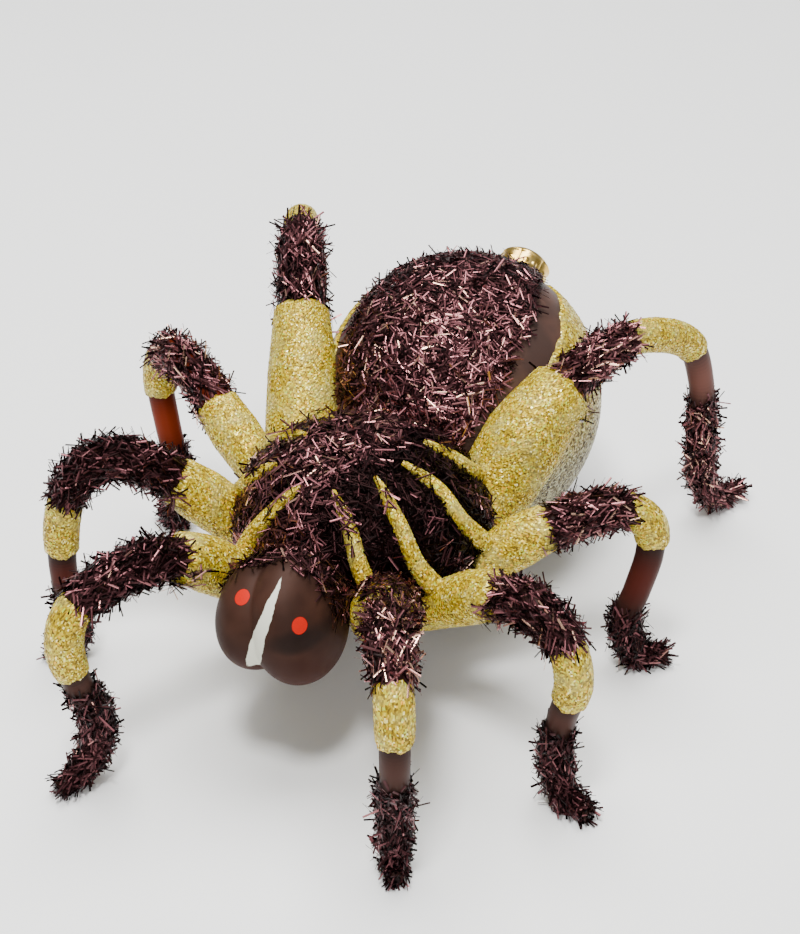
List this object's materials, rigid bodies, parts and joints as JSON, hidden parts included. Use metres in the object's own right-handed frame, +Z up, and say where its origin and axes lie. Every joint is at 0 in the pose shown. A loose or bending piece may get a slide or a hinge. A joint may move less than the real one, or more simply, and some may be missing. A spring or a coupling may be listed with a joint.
{
  "type": "blown-glass tarantula ornament",
  "caption": "Standing spider ornament of brown blown glass with tinsel and yellow glitter coats, painted eyes, arched legs on flat feet and a gold lobed cap.",
  "frame": {"origin": "on the floor, under the middle of the object's bounding box", "axes": "+Z up, -Y towards the head, +X towards the spider's own left legs"},
  "size_m": [0.1409, 0.1731, 0.0735],
  "materials": {
    "brown_glass": "satin",
    "tinsel": "metallised foil strips",
    "glitter": "sparkling",
    "glitter_glass": "sparkling",
    "gold": "polished"
  },
  "bodies": {
    "root": {"abdomen": "brown_glass", "abdomen_tinsel": "tinsel", "abdomen_belly_tinsel": "tinsel", "abdomen_glitter_left": "glitter", "abdomen_glitter_right": "glitter", "cap": "gold", "carapace": "brown_glass", "carapace_tinsel": "tinsel", "head": "brown_glass", "base_l1": "glitter_glass", "base_l2": "glitter_glass", "base_l3": "glitter_glass", "base_l4": "glitter_glass", "base_r1": "glitter_glass", "base_r2": "glitter_glass", "base_r3": "glitter_glass", "base_r4": "glitter_glass", "leg_l1": "brown_glass", "leg_l2": "brown_glass", "leg_l3": "brown_glass", "leg_l4": "brown_glass", "leg_r1": "brown_glass", "leg_r2": "brown_glass", "leg_r3": "brown_glass", "leg_r4": "brown_glass", "thigh_tinsel_l1": "tinsel", "thigh_tinsel_l2": "tinsel", "thigh_tinsel_l3": "tinsel", "thigh_tinsel_l4": "tinsel", "thigh_tinsel_r1": "tinsel", "thigh_tinsel_r2": "tinsel", "thigh_tinsel_r3": "tinsel", "thigh_tinsel_r4": "tinsel", "knee_glitter_l1": "glitter", "knee_glitter_l2": "glitter", "knee_glitter_l3": "glitter", "knee_glitter_l4": "glitter", "knee_glitter_r1": "glitter", "knee_glitter_r2": "glitter", "knee_glitter_r3": "glitter", "knee_glitter_r4": "glitter", "foot_tinsel_l1": "tinsel", "foot_tinsel_l2": "tinsel", "foot_tinsel_l3": "tinsel", "foot_tinsel_l4": "tinsel", "foot_tinsel_r1": "tinsel", "foot_tinsel_r2": "tinsel", "foot_tinsel_r3": "tinsel", "foot_tinsel_r4": "tinsel"}
  },
  "joints": []
}
